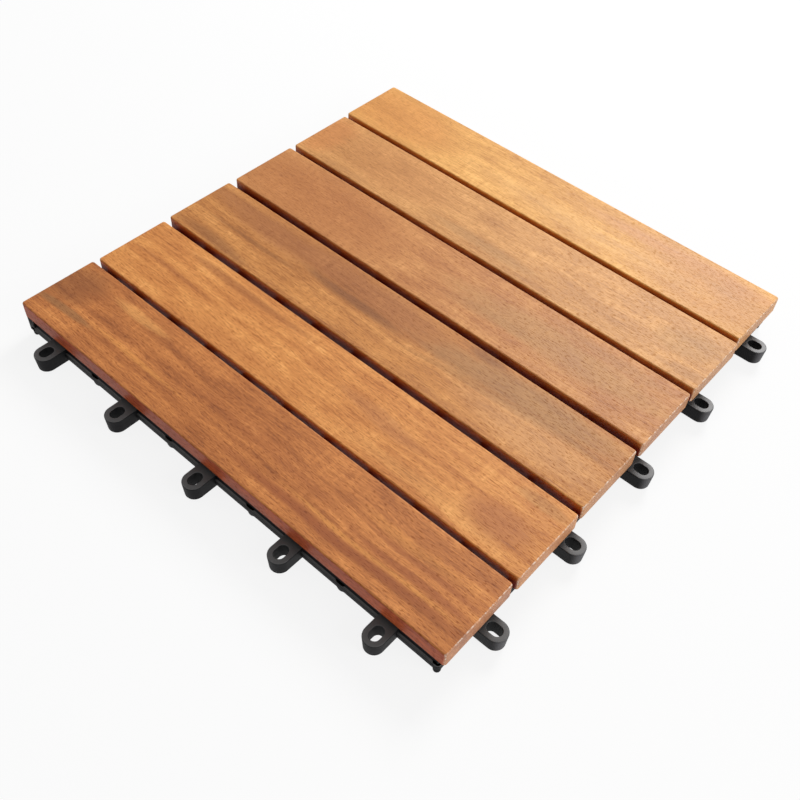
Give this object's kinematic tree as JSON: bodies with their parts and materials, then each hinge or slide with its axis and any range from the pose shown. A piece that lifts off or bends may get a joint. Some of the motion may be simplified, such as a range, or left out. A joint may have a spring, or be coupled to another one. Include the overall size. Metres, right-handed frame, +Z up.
{
  "type": "interlocking deck tile",
  "caption": "Square deck tile with hardwood slats screwed to a black plastic grid that has loops on two sides and pegs on the other two, so tiles clip together",
  "frame": {"origin": "where the base's two middle ribs cross, on the plane that its feet stand on", "axes": "+Z up out of the slats' tops; +X along the slats, out of one side that has loops; +Y across the slats, away from the other side that has loops"},
  "size_m": [0.3116, 0.3134, 0.024],
  "materials": {
    "base_plastic": "fine moulded texture, dull",
    "screw_steel": "zinc plated",
    "wood_1": "oiled hardwood, dull sheen",
    "wood_2": "oiled hardwood, dull sheen",
    "wood_3": "oiled hardwood, dull sheen",
    "wood_4": "oiled hardwood, dull sheen",
    "wood_5": "oiled hardwood, dull sheen",
    "wood_6": "oiled hardwood, dull sheen"
  },
  "bodies": {
    "root": {"base_grid": "base_plastic", "slat_screws": "screw_steel", "slat_1": "wood_1", "slat_2": "wood_2", "slat_3": "wood_3", "slat_4": "wood_4", "slat_5": "wood_5", "slat_6": "wood_6"}
  },
  "joints": []
}
